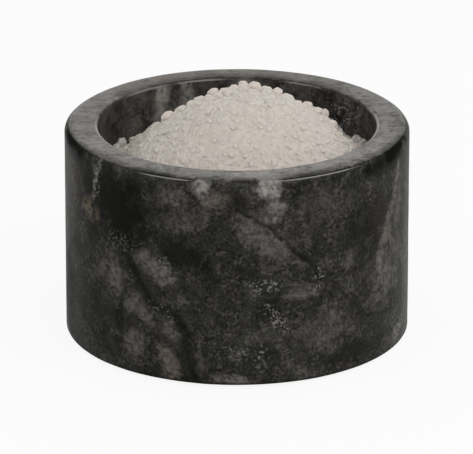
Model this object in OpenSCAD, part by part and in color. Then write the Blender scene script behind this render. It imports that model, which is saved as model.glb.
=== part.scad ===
// Salt cellar: a bowl turned from one block of dark veined stone, standing on
// thin foot pads and heaped with coarse salt. Millimetres, +Z up. The origin is
// on the table, on the axis of the bowl, and -Y is the front.

/* [Bowl] */
// Outside diameter of the bowl
bowl_d = 90; // [76:1:110]
// Height of the bowl, from its underside to its rim
bowl_h = 56; // [46:1:75]
// Thickness of the wall
wall_t = 8.7; // [5:0.1:12]
// Thickness of the floor
floor_t = 10; // [6:0.5:16]
// Radius of the rim's outer edge
rim_outer_r = 2.1; // [0.8:0.1:2.4]
// Radius of the rim's inner edge
rim_inner_r = 0.9; // [0.4:0.1:2.4]
// Radius of the edge round the underside
base_edge_r = 1; // [0.4:0.1:3]
// Radius between the bore and its floor
bore_corner_r = 8; // [2:0.5:16]

/* [Foot pads] */
// Number of foot pads
pad_count = 4; // [3:1:6]
// Diameter of a foot pad
pad_d = 9; // [6:0.5:12]
// Thickness of a foot pad
pad_t = 0.8; // [0.5:0.1:2]
// Distance from the side of the bowl to the edge of a foot pad
pad_inset = 5; // [4:0.5:12]

/* [Salt heap] */
// Height of the crest above the rim
crest_h = 8.4; // [2:0.2:14]
// Radius of the rounded crest
crest_r = 27; // [12:1:36]
// Slope of the flanks, in degrees from level
flank_slope = 36.5; // [28:0.5:38]
// Distance of the crest from the axis of the bowl, to the right
crest_shift = 2.4; // [-5:0.1:5]
// Gap between the salt and the side of the bore
salt_gap = 0.1; // [0.05:0.05:0.5]

/* [Salt crystals] */
// Length of the largest crystal on the heap
heap_crystal = 2.6; // [1.8:0.1:3.2]
// Length of the largest crystal in the groove along the wall
wall_crystal = 3.4; // [1.8:0.1:4]
// Share of the places along the wall that hold a crystal
wall_share = 0.7; // [0.2:0.05:1]
// Radius of the patch on the heap that counts as its crest
crest_patch_r = 11; // [6:0.5:15]
// Gap left between a crystal and what it lies on or beside
crystal_gap = 0.05; // [0.02:0.01:0.2]

/* [Hidden] */
$fn = 128;

stone_colour = "#3a3936";
salt_colour = "#d6cdc4";
pad_colour = "#b9b7ae";

bowl_r = bowl_d / 2;
bore_r = bowl_r - wall_t;
salt_r = bore_r - salt_gap;
underside_z = pad_t;
floor_z = underside_z + floor_t;
rim_z = underside_z + bowl_h;
pad_ring_r = bowl_r - pad_inset - pad_d / 2;

// How far a cutting shape, or a shape that is cut to fit, reaches past the face it is cut at
overcut = 1;

// The heap is a cone with a round crest: an arc as far as tangent_r, then a straight flank.
crest_z = rim_z + crest_h;
tangent_r = crest_r * sin(flank_slope);
tangent_z = crest_z - crest_r * (1 - cos(flank_slope));
heap_foot_r = salt_r + abs(crest_shift) + overcut;
arc_steps = 16;

// A crystal is a block of these proportions to its length, with its corners cut off by a tipped cube.
// It lies at any twist up to twist_max, and the smallest one is smallest_share of the largest.
crystal_width = 0.82;
crystal_height = 0.74;
crystal_cut = 1.12;
crystal_tip = [45, 35, 0];
twist_max = 90;
smallest_share = 0.6;

// Crystals on a spiral of golden turns lie evenly, this far apart in lengths of the largest one.
golden_turn = 137.50776;
spacing = 1.4;
heap_pitch = heap_crystal * spacing;
heap_places = floor(PI * heap_foot_r * heap_foot_r / (heap_pitch * heap_pitch));
heap_seed = 11;
wall_seed = 15;

// Height of the heap at a distance from the crest's own axis
function heap_z(r) = r < tangent_r
    ? crest_z - crest_r + sqrt(crest_r * crest_r - r * r)
    : tangent_z - (r - tangent_r) * tan(flank_slope);

// Tilt of the heap at a distance from the crest's own axis, in degrees from level
function heap_tilt(r) = r < tangent_r ? asin(r / crest_r) : flank_slope;

// Radius of the circle that holds a crystal as seen along its height
function crystal_reach(length) = length * norm([1, crystal_width]) / 2;

// How far a crystal that lies on the flank reaches outwards, past the place it lies on
function crystal_out(length) =
    crystal_reach(length) * cos(flank_slope) + length * crystal_height * sin(flank_slope);

// The other leg of a right-angled triangle
function other_leg(hypotenuse, leg) = sqrt(hypotenuse * hypotenuse - leg * leg);

// Farthest from the axis of the bowl that a crystal can lie and clear the wall
function crystal_limit(length) =
    other_leg(salt_r - crystal_gap, crystal_reach(length)) - crystal_out(length);

// Distance from the axis of the bowl of a place on the heap
function off_axis(r, turn) = norm([crest_shift + r * cos(turn), r * sin(turn)]);

// The bore, as a half outline that touches the axis, drawn smaller by a gap at its side
module bore_outline(gap, top_z) {
    r = bore_r - gap;
    corner = bore_corner_r - gap;
    translate([0, floor_z]) square([r - corner, top_z - floor_z]);
    translate([0, floor_z + corner]) square([r, top_z - floor_z - corner]);
    translate([r - corner, floor_z + corner]) circle(corner);
}

// The outside of the bowl, as a half outline that touches the axis
module block_outline() {
    translate([0, underside_z]) square([bowl_r - base_edge_r, base_edge_r]);
    translate([bowl_r - base_edge_r, underside_z + base_edge_r]) circle(base_edge_r);
    translate([0, underside_z + base_edge_r]) square([bowl_r, bowl_h - base_edge_r - rim_outer_r]);
    translate([0, rim_z - rim_outer_r]) square([bowl_r - rim_outer_r, rim_outer_r]);
    translate([bowl_r - rim_outer_r, rim_z - rim_outer_r]) circle(rim_outer_r);
}

// What the rounded inner edge takes off the rim, as a half outline
module rim_inner_cut() {
    side = rim_inner_r + overcut;
    difference() {
        translate([bore_r - overcut, rim_z - rim_inner_r]) square([side, side]);
        translate([bore_r + rim_inner_r, rim_z - rim_inner_r]) circle(rim_inner_r);
    }
}

module marble_bowl() {
    color(stone_colour) rotate_extrude() difference() {
        block_outline();
        bore_outline(0, rim_z + overcut);
        rim_inner_cut();
    }
}

module foot_pads() {
    color(pad_colour) for (i = [0 : pad_count - 1])
        rotate([0, 0, (i + 0.5) * 360 / pad_count])
            translate([pad_ring_r, 0, 0]) cylinder(h = pad_t, d = pad_d);
}

// The heap, cut off level at the floor of the bore, about the crest's own axis
module heap() {
    arc_points = [for (i = [0 : arc_steps])
        let (a = flank_slope * i / arc_steps) [crest_r * sin(a), crest_z - crest_r * (1 - cos(a))]];
    foot_points = [[heap_foot_r, heap_z(heap_foot_r)], [heap_foot_r, floor_z], [0, floor_z]];
    rotate_extrude() polygon(concat(arc_points, foot_points));
}

module salt_fill() {
    color(salt_colour) intersection() {
        translate([crest_shift, 0, 0]) heap();
        rotate_extrude() bore_outline(salt_gap, crest_z + overcut);
    }
}

// One crystal lying on the plane z = 0
module crystal(length, twist) {
    height = length * crystal_height;
    translate([0, 0, height / 2]) rotate([0, 0, twist]) intersection() {
        cube([length, length * crystal_width, height], center = true);
        rotate(crystal_tip + [0, 0, twist]) cube(length * crystal_cut, center = true);
    }
}

// A crystal lying on the heap, at a distance and a turn about the crest's own axis
module crystal_on_heap(length, r, turn, twist) {
    translate([crest_shift, 0, 0]) rotate([0, 0, turn]) translate([r, 0, heap_z(r)])
        rotate([0, heap_tilt(r), 0]) translate([0, 0, crystal_gap]) crystal(length, twist);
}

// The crystals of the heap from one distance to another about the crest's own axis,
// as far out as the groove along the wall
module heap_crystals(inner_r, outer_r) {
    shares = rands(smallest_share, 1, heap_places, heap_seed);
    twists = rands(0, twist_max, heap_places, heap_seed + 1);
    groove_r = crystal_limit(wall_crystal) - crystal_reach(wall_crystal)
        - crystal_reach(heap_crystal);
    color(salt_colour) for (i = [0 : heap_places - 1]) {
        r = heap_foot_r * sqrt((i + 0.5) / heap_places);
        turn = i * golden_turn;
        if (r >= inner_r && r < outer_r && off_axis(r, turn) < groove_r)
            crystal_on_heap(heap_crystal * shares[i], r, turn, twists[i]);
    }
}

module crest_crystals() heap_crystals(0, crest_patch_r);

module flank_crystals() heap_crystals(crest_patch_r, heap_foot_r);

// The largest crystals have rolled down the flanks and lie against the wall.
module wall_crystals() {
    places = floor(2 * PI * crystal_limit(wall_crystal) / (wall_crystal * spacing));
    shares = rands(smallest_share, 1, places, wall_seed);
    twists = rands(0, twist_max, places, wall_seed + 1);
    fills = rands(0, 1, places, wall_seed + 2);
    color(salt_colour) for (i = [0 : places - 1]) {
        length = wall_crystal * shares[i];
        bearing = i * 360 / places;
        place = crystal_limit(length) * [cos(bearing), sin(bearing)] - [crest_shift, 0];
        if (fills[i] < wall_share)
            crystal_on_heap(length, norm(place), atan2(place[1], place[0]), twists[i]);
    }
}

marble_bowl();
foot_pads();
salt_fill();
crest_crystals();
flank_crystals();
wall_crystals();
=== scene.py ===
"""The looks of a salt cellar: a turned bowl of dark veined marble, heaped with coarse salt.

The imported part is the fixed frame. Each sub-assembly is a class that holds its sizes in millimetres
and its angles in degrees. A piece is modelled in millimetres and brought to metres once, when its
mesh is handed over. Azimuths are counted from the front, to the right.
"""

from __future__ import annotations

import logging
import math
import random
from collections.abc import Iterator
from dataclasses import dataclass, field
from enum import Enum
from functools import reduce

import bmesh
import bpy
from mathutils import Euler, Matrix, Vector, noise

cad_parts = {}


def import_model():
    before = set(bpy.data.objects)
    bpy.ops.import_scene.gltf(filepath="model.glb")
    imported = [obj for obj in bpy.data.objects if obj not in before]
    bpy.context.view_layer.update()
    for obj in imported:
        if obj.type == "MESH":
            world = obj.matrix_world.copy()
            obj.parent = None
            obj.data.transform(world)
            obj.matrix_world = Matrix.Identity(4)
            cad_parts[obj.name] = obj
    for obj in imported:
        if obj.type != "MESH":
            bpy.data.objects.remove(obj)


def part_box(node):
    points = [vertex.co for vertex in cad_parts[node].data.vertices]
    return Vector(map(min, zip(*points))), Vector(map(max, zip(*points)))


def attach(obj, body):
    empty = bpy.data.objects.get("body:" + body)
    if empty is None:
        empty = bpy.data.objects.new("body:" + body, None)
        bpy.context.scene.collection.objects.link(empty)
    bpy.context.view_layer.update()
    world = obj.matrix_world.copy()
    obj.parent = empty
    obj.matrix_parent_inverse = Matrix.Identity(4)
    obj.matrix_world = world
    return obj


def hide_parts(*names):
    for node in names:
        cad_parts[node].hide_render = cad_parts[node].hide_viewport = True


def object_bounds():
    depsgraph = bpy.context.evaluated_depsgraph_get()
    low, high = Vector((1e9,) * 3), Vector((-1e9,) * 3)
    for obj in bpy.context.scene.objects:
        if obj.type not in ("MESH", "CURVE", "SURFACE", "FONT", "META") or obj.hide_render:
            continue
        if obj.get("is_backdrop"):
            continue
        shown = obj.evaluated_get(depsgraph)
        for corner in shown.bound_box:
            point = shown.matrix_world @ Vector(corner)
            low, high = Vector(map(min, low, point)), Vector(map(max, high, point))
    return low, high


LOG = logging.getLogger("salt_cellar")
MM = 0.001
BODY = "root"
PHOTO_WIDTH = 473
GOLDEN_TURN = math.pi * (3 - math.sqrt(5))
NEAR = 1e-3
# A crystal's middle is multiplied by these, so that its lean and its level are chances of their own.
LEAN_SEED = 97
LEVEL_SEED = 53

Colour = tuple[float, float, float, float]
Socket = "Expr | float | tuple[float, ...]"


def grey(level: float, red: float = 1.0, green: float = 1.0, blue: float = 1.0) -> Colour:
    """Returns a linear colour of one level, tinted by a factor for each channel."""
    return (level * red, level * green, level * blue, 1.0)


class Expr:
    """A socket in a node tree, on which Python's operators add Math nodes."""

    def __init__(self, graph: Graph, socket: bpy.types.NodeSocket) -> None:
        """Keeps the tree and the socket."""
        self.graph = graph
        self.socket = socket

    def _math(self, operation: str, first: Socket, second: Socket = 0.0) -> Expr:
        """Returns the result of one Math node."""
        return self.graph.node("ShaderNodeMath", {"operation": operation}, {0: first, 1: second})

    def __add__(self, other: Socket) -> Expr:
        """Returns the sum."""
        return self._math("ADD", self, other)

    def __radd__(self, other: float) -> Expr:
        """Returns the sum, with a number on the left."""
        return self._math("ADD", other, self)

    def __sub__(self, other: Socket) -> Expr:
        """Returns the difference."""
        return self._math("SUBTRACT", self, other)

    def __rsub__(self, other: float) -> Expr:
        """Returns the difference, with a number on the left."""
        return self._math("SUBTRACT", other, self)

    def __mul__(self, other: Socket) -> Expr:
        """Returns the product."""
        return self._math("MULTIPLY", self, other)

    def __rmul__(self, other: float) -> Expr:
        """Returns the product, with a number on the left."""
        return self._math("MULTIPLY", other, self)

    def __abs__(self) -> Expr:
        """Returns the size without its sign."""
        return self._math("ABSOLUTE", self)

    def least(self, other: Socket) -> Expr:
        """Returns the smaller of two values."""
        return self._math("MINIMUM", self, other)

    def most(self, other: Socket) -> Expr:
        """Returns the larger of two values."""
        return self._math("MAXIMUM", self, other)

    def turn_from(self, other: Socket) -> Expr:
        """Returns the angle in radians of this length beside another one."""
        return self._math("ARCTAN2", self, other)

    def ease(self, start: float, end: float) -> Expr:
        """Returns a smooth step, from 0 where the value is start to 1 where it is end.

        Args:
            start: the value that gives 0; it may lie above end.
            end: the value that gives 1.

        Returns:
            The eased value.
        """
        low, high = min(start, end), max(start, end)
        to_low, to_high = (0.0, 1.0) if start < end else (1.0, 0.0)
        return self.graph.node(
            "ShaderNodeMapRange",
            {"interpolation_type": "SMOOTHSTEP"},
            {0: self, 1: low, 2: high, 3: to_low, 4: to_high},
        )

    def above(self, floor: float) -> Expr:
        """Returns a mask that runs from a floor to 1 where this one runs from 0 to 1."""
        return floor + self * (1 - floor)


class Graph:
    """The nodes of one material or world."""

    def __init__(self, tree: bpy.types.NodeTree) -> None:
        """Empties the tree.

        Args:
            tree: the node tree of a material or of the world.
        """
        self.tree = tree
        tree.nodes.clear()

    @classmethod
    def of_material(cls, name: str) -> tuple[bpy.types.Material, Graph]:
        """Returns a new material and its nodes."""
        made = bpy.data.materials.new(name)
        made.use_nodes = True
        return made, cls(made.node_tree)

    def node(self, kind: str, settings: dict, inputs: dict, output: int | str = 0) -> Expr:
        """Adds a node.

        Args:
            kind: Blender's name for the node's type.
            settings: the node's own properties, which are set first; "stops" are a ramp's.
            inputs: socket number or name, to the value or the link that it gets.
            output: the socket that is returned, by number or name.

        Returns:
            The chosen output.
        """
        made = self.tree.nodes.new(kind)
        for name, value in settings.items():
            if name == "stops":
                self._set_stops(made.color_ramp, value)
            else:
                setattr(made, name, value)
        for key, value in inputs.items():
            if isinstance(value, Expr):
                self.tree.links.new(value.socket, made.inputs[key])
            else:
                made.inputs[key].default_value = value
        return Expr(self, made.outputs[output]) if made.outputs else Expr(self, made.inputs[0])

    @staticmethod
    def _set_stops(ramp: bpy.types.ColorRamp, stops: list[tuple[float, Colour]]) -> None:
        """Sets a ramp's stops.

        Args:
            ramp: the ramp, with two stops.
            stops: each stop's place from 0 to 1, and its colour.
        """
        while len(ramp.elements) < len(stops):
            ramp.elements.new(1.0)
        for element, (place, colour) in zip(ramp.elements, stops):
            element.position = place
            element.color = colour

    def vector(self, operation: str, first: Socket, second: Socket = (0, 0, 0), output: int = 0) -> Expr:
        """Returns the result of one Vector Math node; output 1 is its number."""
        return self.node("ShaderNodeVectorMath", {"operation": operation}, {0: first, 1: second}, output)

    def scaled(self, vector: Expr, factor: Socket) -> Expr:
        """Returns a vector times a number."""
        return self.node("ShaderNodeVectorMath", {"operation": "SCALE"}, {0: vector, 3: factor})

    def split(self, vector: Expr) -> tuple[Expr, Expr, Expr]:
        """Returns a vector's three parts."""
        made = self.node("ShaderNodeSeparateXYZ", {}, {0: vector}).socket.node
        return tuple(Expr(self, socket) for socket in made.outputs)

    def joined(self, x: Socket, y: Socket, z: Socket = 0.0) -> Expr:
        """Returns a vector of three values."""
        return self.node("ShaderNodeCombineXYZ", {}, {0: x, 1: y, 2: z})

    def mix(self, factor: Socket, first: Socket, second: Socket) -> Expr:
        """Returns two colours mixed by a factor."""
        return self.node("ShaderNodeMix", {"data_type": "RGBA"}, {0: factor, 6: first, 7: second}, 2)

    def noise(self, place: Expr, size: float, detail: float = 3.0, rough: float = 0.55,
              bend: float = 0.0, output: int = 0) -> Expr:
        """Adds fractal noise.

        Args:
            place: where it is read, in millimetres.
            size: the size of its largest forms, in millimetres.
            detail: the number of finer layers.
            rough: the share of each finer layer.
            bend: how much the noise distorts itself.
            output: 0 for the value and 1 for the colour.

        Returns:
            The value or colour, around 0.5.
        """
        inputs = {0: place, "Scale": 1 / size, "Detail": detail, "Roughness": rough, "Distortion": bend}
        return self.node("ShaderNodeTexNoise", {}, inputs, output)

    def ridge(self, place: Expr, size: float, detail: float, rough: float, bend: float = 0.0) -> Expr:
        """Returns how far noise is from its middle, which is 0 along thin winding lines."""
        return abs(self.noise(place, size, detail, rough, bend) - 0.5)

    def warped(self, place: Expr, size: float, reach: float, detail: float = 3.0) -> Expr:
        """Returns places pushed about by noise of a size, by up to about half of reach."""
        push = self.vector("SUBTRACT", self.noise(place, size, detail, output=1), (0.5, 0.5, 0.5))
        return self.vector("ADD", place, self.scaled(push, reach))

    def object_mm(self) -> Expr:
        """Returns the object's own coordinates, in millimetres."""
        return self.scaled(self.node("ShaderNodeTexCoord", {}, {}, "Object"), 1 / MM)

    def bump(self, height: Expr, depth: float, strength: float) -> Expr:
        """Returns the normal of a surface with a relief of a depth in millimetres."""
        inputs = {"Strength": strength, "Distance": depth * MM, "Height": height}
        return self.node("ShaderNodeBump", {}, inputs)

    def principled(self, inputs: dict, settings: dict | None = None) -> Expr:
        """Returns a Principled shader with some of its inputs and settings changed."""
        return self.node("ShaderNodeBsdfPrincipled", settings or {}, inputs)

    def blended(self, factor: Expr, first: Expr, second: Expr) -> Expr:
        """Returns two shaders mixed by a factor."""
        return self.node("ShaderNodeMixShader", {}, {0: factor, 1: first, 2: second})

    def surface(self, shader: Expr) -> None:
        """Leads a shader to the output of a material."""
        self.node("ShaderNodeOutputMaterial", {}, {"Surface": shader})


@dataclass(frozen=True)
class FrameSizes:
    """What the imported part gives, in millimetres."""

    bowl_r: float
    underside_z: float
    rim_z: float
    salt_r: float
    floor_z: float
    crest_z: float

    @classmethod
    def read(cls) -> FrameSizes:
        """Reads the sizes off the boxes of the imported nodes.

        Returns:
            The sizes.
        """
        bowl_low, bowl_high = (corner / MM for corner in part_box("marble_bowl"))
        salt_low, salt_high = (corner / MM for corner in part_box("salt_fill"))
        return cls(
            bowl_r=(bowl_high.x - bowl_low.x) / 2,
            underside_z=bowl_low.z,
            rim_z=bowl_high.z,
            salt_r=(salt_high.x - salt_low.x) / 2,
            floor_z=salt_low.z,
            crest_z=salt_high.z,
        )


def turned(outline: list[tuple[float, float]], steps: int) -> bmesh.types.BMesh:
    """Turns an outline about the axis of the bowl.

    Args:
        outline: the radius and height of each of its points.
        steps: the number of steps round.

    Returns:
        The mesh, whose seam and poles are closed.
    """
    mesh = bmesh.new()
    points = [mesh.verts.new((radius, 0, z)) for radius, z in outline]
    lines = [mesh.edges.new(pair) for pair in zip(points, points[1:])]
    bmesh.ops.spin(mesh, geom=points + lines, cent=(0, 0, 0), axis=(0, 0, 1), angle=math.tau, steps=steps,
                   use_merge=True)
    bmesh.ops.remove_doubles(mesh, verts=mesh.verts, dist=NEAR)
    return mesh


def round_off(mesh: bmesh.types.BMesh, edges: list[bmesh.types.BMEdge], radius: float, segments: int) -> None:
    """Rounds edges of a mesh to a radius, in a number of segments."""
    bmesh.ops.bevel(mesh, geom=edges, offset=radius, offset_type="OFFSET", segments=segments, profile=0.5,
                    affect="EDGES", clamp_overlap=True, material=-1)


def put_in_scene(name: str, data: bpy.types.ID) -> bpy.types.Object:
    """Makes an object of a mesh, lamp or camera.

    Args:
        name: the object's name.
        data: what it shows.

    Returns:
        The object, in the scene.
    """
    made = bpy.data.objects.new(name, data)
    bpy.context.scene.collection.objects.link(made)
    return made


def mesh_object(name: str, mesh: bmesh.types.BMesh, material: bpy.types.Material) -> bpy.types.Object:
    """Makes an object of a mesh.

    Args:
        name: the object's name.
        mesh: its mesh in metres, which is freed.
        material: its finish.

    Returns:
        The object, in the scene.
    """
    data = bpy.data.meshes.new(name)
    mesh.to_mesh(data)
    mesh.free()
    data.materials.append(material)
    return put_in_scene(name, data)


def hand_over(name: str, mesh: bmesh.types.BMesh, material: bpy.types.Material,
              replaces: tuple[str, ...] = (), smooth: bool = True) -> bpy.types.Object:
    """Makes a piece of a mesh that is in millimetres, and sets it on the part.

    Args:
        name: the piece's name.
        mesh: its mesh, which is freed.
        material: its finish.
        replaces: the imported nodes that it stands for.
        smooth: whether its faces are shaded smooth.

    Returns:
        The new object, at the origin.
    """
    bmesh.ops.scale(mesh, vec=(MM, MM, MM), verts=mesh.verts)
    for face in mesh.faces:
        face.smooth = smooth
    piece = mesh_object(name, mesh, material)
    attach(piece, BODY)
    if replaces:
        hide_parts(*replaces)
    faces = len(piece.data.polygons)
    LOG.info("%s: %d faces, stands for %s", name, faces, ", ".join(replaces) or "no node")
    return piece


class Tone(Enum):
    """The tones that cloud and vein the stone, and that paint its light and shade, as linear colours."""

    BLACK = grey(0.0045, 1.0, 0.99, 0.85)
    PALE = grey(0.2, 1.0, 0.945, 0.87)
    CHALK = grey(0.32, 1.0, 0.95, 0.89)
    PINK = grey(0.17, 1.0, 0.84, 0.73)
    CLAY = grey(0.112, 1.0, 0.77, 0.58)
    RUST = grey(0.15, 1.0, 0.84, 0.6)
    UMBER = grey(0.018, 1.25, 0.85, 0.8)
    OLIVE = grey(0.09, 1.0, 0.96, 0.78)
    SPECK_AND_HIGHLIGHT = grey(0.34, 1.0, 0.98, 0.94)


@dataclass(frozen=True)
class Patch:
    """A cloud of one tone or a painted light or shade, placed where it shows on the outer wall, the flat rim
    or the bore.

    Attributes:
        azimuth: where its middle lies round the bowl.
        height: how far its middle lies above the underside, or on the rim from the bowl's axis.
        half_w: half its width, round the bowl.
        half_h: half its height.
        strength: how much of the tone shows at its middle.
        tilt: how far its width is turned from level, rising to the right.
    """

    azimuth: float
    height: float
    half_w: float
    half_h: float
    strength: float = 0.5
    tilt: float = 0.0


@dataclass(frozen=True)
class Vein:
    """A vein of one tone along a line on the outer wall.

    Attributes:
        points: azimuth and height above the underside of each point that it passes.
        half_w: half its width.
        strength: how much of the tone shows at its middle.
    """

    points: tuple[tuple[float, float], ...]
    half_w: float
    strength: float = 0.6


PATCHES: dict[Tone, tuple[Patch, ...]] = {
    Tone.BLACK: (
        Patch(-45, 45, 17, 13, 0.95),
        Patch(-20, 36, 10, 4.5, 0.75, -35),
        # Painted dark reflection: the black wedge under the rim at the left.
        Patch(-72, 54, 15, 3.4, 1.0),
        Patch(1, 50, 2.5, 3.5, 0.7),
        Patch(19, 53, 4.5, 2.4, 0.5),
        # Painted dark reflection: the black wedge under the rim at the right.
        Patch(62, 53.5, 14, 4, 0.95),
        Patch(10, 20, 5, 4.5, 0.6),
        Patch(45, 34, 7, 8, 0.5),
        Patch(-55, 14, 7, 9, 0.45),
        Patch(40, 5, 14, 3, 0.5),
        Patch(-78, 16, 8, 16, 0.9),
        Patch(10, 8, 8, 5, 0.55),
        Patch(104, 22, 9, 12, 0.5),
        Patch(136, 50, 10, 6, 0.8),
        Patch(168, 28, 10, 8, 0.7),
        Patch(196, 50, 8, 5, 0.7),
        Patch(222, 26, 10, 9, 0.6),
        Patch(244, 50, 9, 6, 0.7),
        Patch(262, 26, 8, 8, 0.5),
    ),
    Tone.PALE: (
        Patch(-32, 32.5, 4, 3, 0.5),
        Patch(-26, 29.5, 5, 3.2, 0.55, -25),
        Patch(-45, 26, 3.6, 5.5, 0.5, 15),
        Patch(-33, 18, 7, 2.2, 0.42, -45),
        Patch(-36.5, 19.5, 3.6, 2.2, 0.42),
        Patch(-36, 8.5, 3, 4.5, 0.45),
        Patch(-22.5, 14, 2.6, 4, 0.38, 25),
        Patch(-13, 6, 2.4, 4, 0.35, 20),
        Patch(-1, 1.2, 7, 1.6, 0.6),
        Patch(67, 4.5, 5, 3, 0.5),
        Patch(30, 47, 9, 5, 0.22),
        Patch(9, 40, 11, 4, 0.42, -38),
        Patch(23, 24.5, 6, 2.6, 0.45),
        Patch(40, 31, 2.4, 2.6, 0.35),
        Patch(58, 22, 8, 7.5, 0.5),
        Patch(68, 40, 3.5, 8, 0.4, -15),
        Patch(66, 28, 5, 5, 0.4),
        Patch(30, 13, 9, 6, 0.28),
        Patch(-18, 45, 7, 4, 0.25),
        Patch(-21, 50, 5, 4, 0.3),
        Patch(118, 40, 5, 8, 0.5, 20),
        Patch(128, 24, 7, 4, 0.5, -35),
        Patch(146, 36, 8, 4, 0.42, 25),
        Patch(160, 14, 4, 7, 0.45, 15),
        Patch(173, 44, 9, 3.4, 0.42, -20),
        Patch(190, 22, 8, 4, 0.48, 32),
        Patch(207, 44, 5, 6, 0.45),
        Patch(214, 12, 7, 3.4, 0.4, -20),
        Patch(232, 35, 4.5, 8, 0.5, -25),
        Patch(248, 11, 5, 5, 0.4),
        Patch(256, 46, 4, 6, 0.38),
    ),
    Tone.CHALK: (
        Patch(10.5, 54, 3.4, 4.4, 1.0),
        Patch(12, 47.5, 3, 4, 0.5),
        Patch(-12.6, 54.6, 2.8, 3.6, 0.95),
        # A painted highlight: the small white glint at the left end of the outer edge.
        Patch(-86, 52.4, 1.6, 1.8, 0.9),
        Patch(176, 54, 3, 3.4, 0.7),
        Patch(213, 54.5, 2.6, 3, 0.6),
        Patch(132, 3, 5, 2.4, 0.4),
    ),
    Tone.PINK: (
        Patch(-7, 51, 3.6, 2.4, 0.6),
        Patch(-23, 5, 2.4, 5, 0.8, 15),
        Patch(60, 33, 3, 4, 0.6),
        Patch(-72, 46, 5, 8, 0.25),
        Patch(151, 49, 3.6, 3, 0.5),
        Patch(226, 46, 3, 4, 0.5),
        Patch(184, 7, 2.6, 4, 0.6, 15),
    ),
    Tone.RUST: (
        Patch(-57, 41, 4.6, 3.4, 0.75),
        Patch(239, 20, 4, 3, 0.6),
    ),
    Tone.UMBER: (
        Patch(3, 51, 1.6, 2, 0.8),
        Patch(14.5, 50.5, 1.5, 2.4, 0.9),
        Patch(54, 40, 4, 6, 0.6),
        Patch(160, 41, 3, 4, 0.6),
        Patch(205, 30, 3.5, 4, 0.5),
    ),
    Tone.OLIVE: (
        # A painted reflection: the olive strip down the wall near its right side.
        Patch(78, 24, 5, 22, 0.6),
    ),
    Tone.SPECK_AND_HIGHLIGHT: (
        Patch(8, 27, 5, 2.2, 1.0),
        Patch(13, 18, 6, 2, 0.9, -38),
        Patch(27, 28, 2, 3.4, 0.9),
        Patch(-43, 35, 6, 3, 0.45),
        Patch(-24, 32, 2, 2, 0.5),
        Patch(-25, 19, 5, 2, 0.4, -35),
        Patch(-53, 50, 2, 6, 0.8),
        Patch(-1, 9, 5, 2.5, 0.45),
        Patch(8, 7, 2, 4, 0.7),
        Patch(68, 5, 4, 4, 0.8),
        Patch(141, 22, 5, 2.6, 0.9, -30),
        Patch(196, 30, 3, 4, 0.7),
        Patch(236, 25, 4, 2.6, 0.7),
        Patch(166, 6, 5, 2.6, 0.5),
    ),
}
VEINS: dict[Tone, tuple[Vein, ...]] = {
    Tone.BLACK: (
        Vein(((-40, 37), (-38, 31), (-34, 25), (-28, 21), (-20, 17), (-16, 10), (-13, 1)), 1.6, 0.9),
        Vein(((-40.5, 22), (-41, 18), (-42.5, 12)), 0.5, 0.9),
        Vein(((-1, 48), (12, 42), (18, 37), (29, 27)), 0.55, 0.9),
        Vein(((-10, 29.5), (5, 29), (18, 26.5), (33, 25), (48, 14), (62, 12)), 0.35, 0.5),
        Vein(((112, 56), (117, 46), (124, 38), (133, 30), (139, 18), (150, 9), (155, 0)), 1.1, 0.85),
        Vein(((166, 52), (178, 40), (188, 31), (200, 17)), 0.6, 0.9),
        Vein(((258, 40), (247, 34), (238, 25), (224, 20), (212, 5)), 0.9, 0.8),
    ),
    Tone.PALE: (
        Vein(((209, 55), (214, 45), (210, 35), (200, 27)), 0.9, 0.5),
        Vein(((-51.5, 56), (-55, 45)), 0.6, 0.55),
        Vein(((68, 50), (60, 38), (54, 27)), 1.2, 0.6),
    ),
}
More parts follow.
